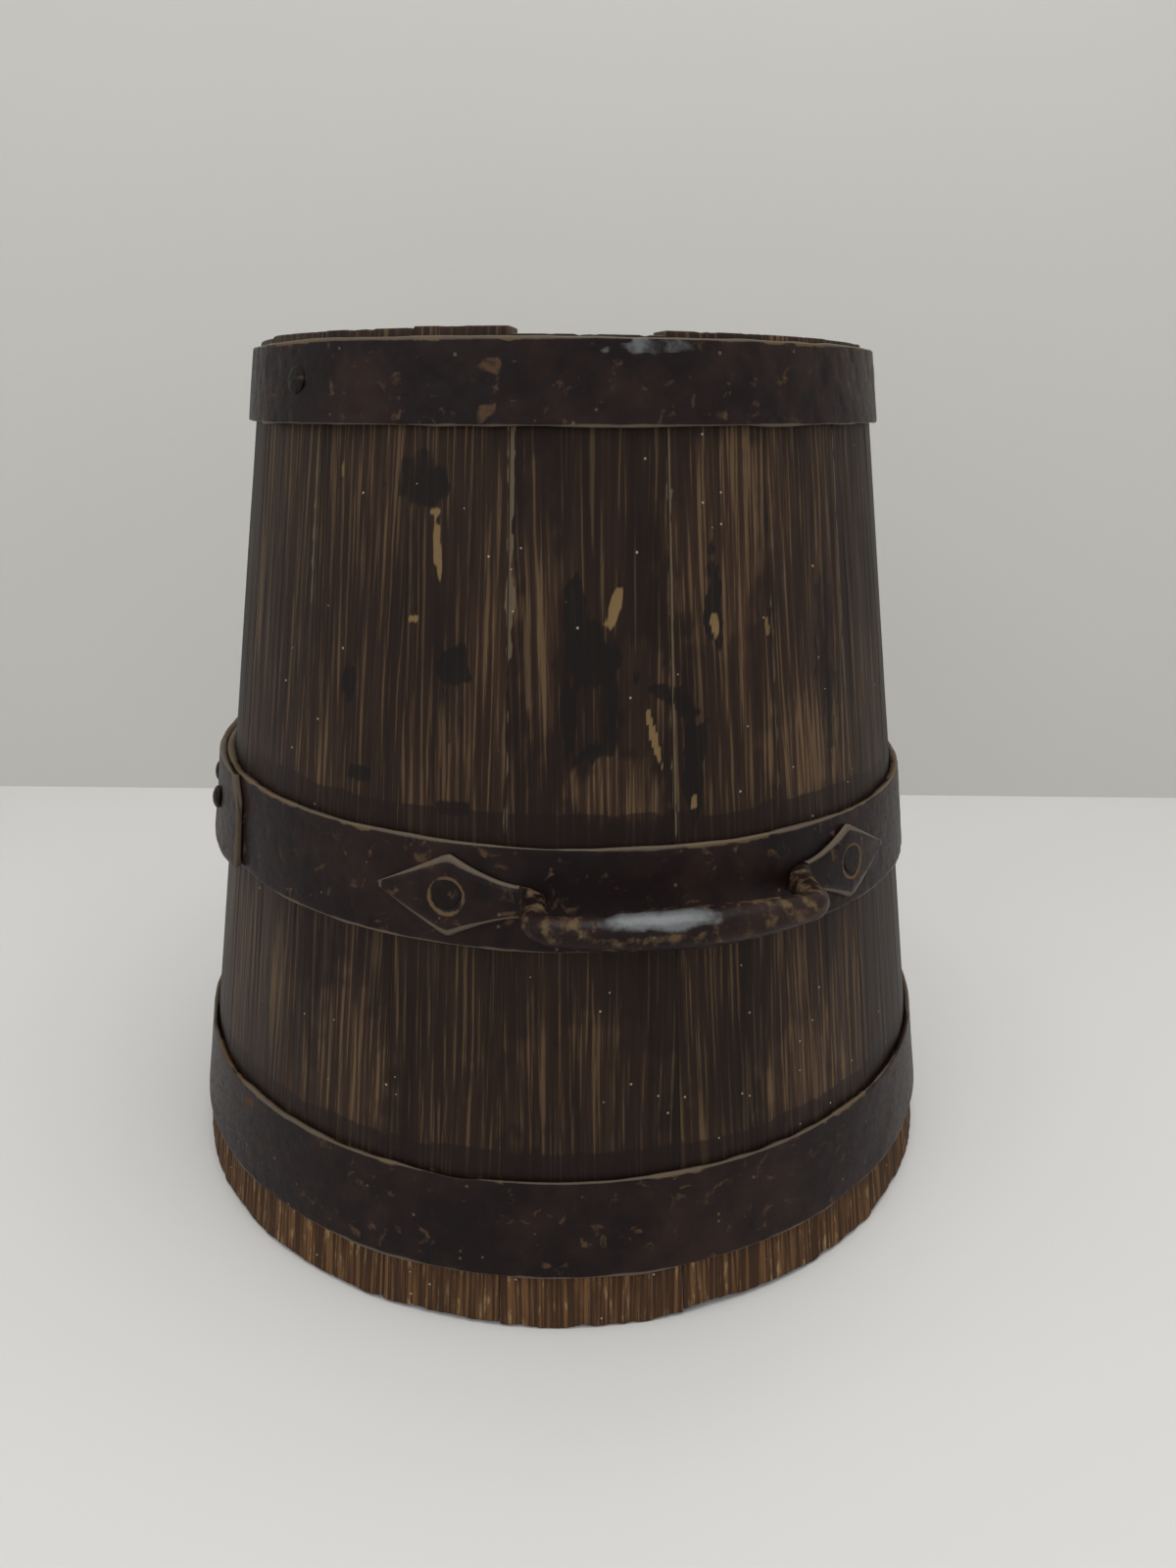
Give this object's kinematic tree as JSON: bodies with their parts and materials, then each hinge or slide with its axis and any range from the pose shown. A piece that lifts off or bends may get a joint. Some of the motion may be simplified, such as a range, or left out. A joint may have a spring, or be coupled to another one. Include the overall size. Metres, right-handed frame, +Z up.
{
  "type": "grain measure",
  "caption": "Coopered wooden grain measure: a staved tub that narrows to its mouth, with a boarded floor, lapped iron hoops and forged side handles.",
  "frame": {"origin": "middle of the foot, on the surface that the measure stands on", "axes": "+Z up to the mouth, the handles on -Y and +Y, the pictured handle on -Y"},
  "size_m": [0.4014, 0.4272, 0.4],
  "materials": {
    "stave_wood": "very dark, dry and worn, with fine pale grain, stains and a paler foot",
    "floor_wood": "dark, scrubbed and dusty",
    "hoop_iron": "forged iron, brown-black patina with rust specks",
    "handle_iron": "forged iron, rubbed bright along the grip, with rust",
    "rivet_iron": "hammered iron, dark patina"
  },
  "bodies": {
    "root": {"stave_01": "stave_wood", "stave_02": "stave_wood", "stave_03": "stave_wood", "stave_04": "stave_wood", "stave_05": "stave_wood", "stave_06": "stave_wood", "stave_07": "stave_wood", "stave_08": "stave_wood", "stave_09": "stave_wood", "stave_10": "stave_wood", "stave_11": "stave_wood", "stave_12": "stave_wood", "stave_13": "stave_wood", "stave_14": "stave_wood", "stave_15": "stave_wood", "stave_16": "stave_wood", "stave_17": "stave_wood", "stave_18": "stave_wood", "stave_19": "stave_wood", "stave_20": "stave_wood", "floor_board_1": "floor_wood", "floor_board_2": "floor_wood", "floor_board_3": "floor_wood", "floor_board_4": "floor_wood", "floor_dowels": "floor_wood", "top_hoop": "hoop_iron", "middle_hoop": "hoop_iron", "bottom_hoop": "hoop_iron", "front_handle": "handle_iron", "rear_handle": "handle_iron", "top_hoop_rivet": "rivet_iron", "middle_hoop_rivets": "rivet_iron", "bottom_hoop_rivets": "rivet_iron", "front_handle_rivets": "rivet_iron", "rear_handle_rivets": "rivet_iron"}
  },
  "joints": []
}
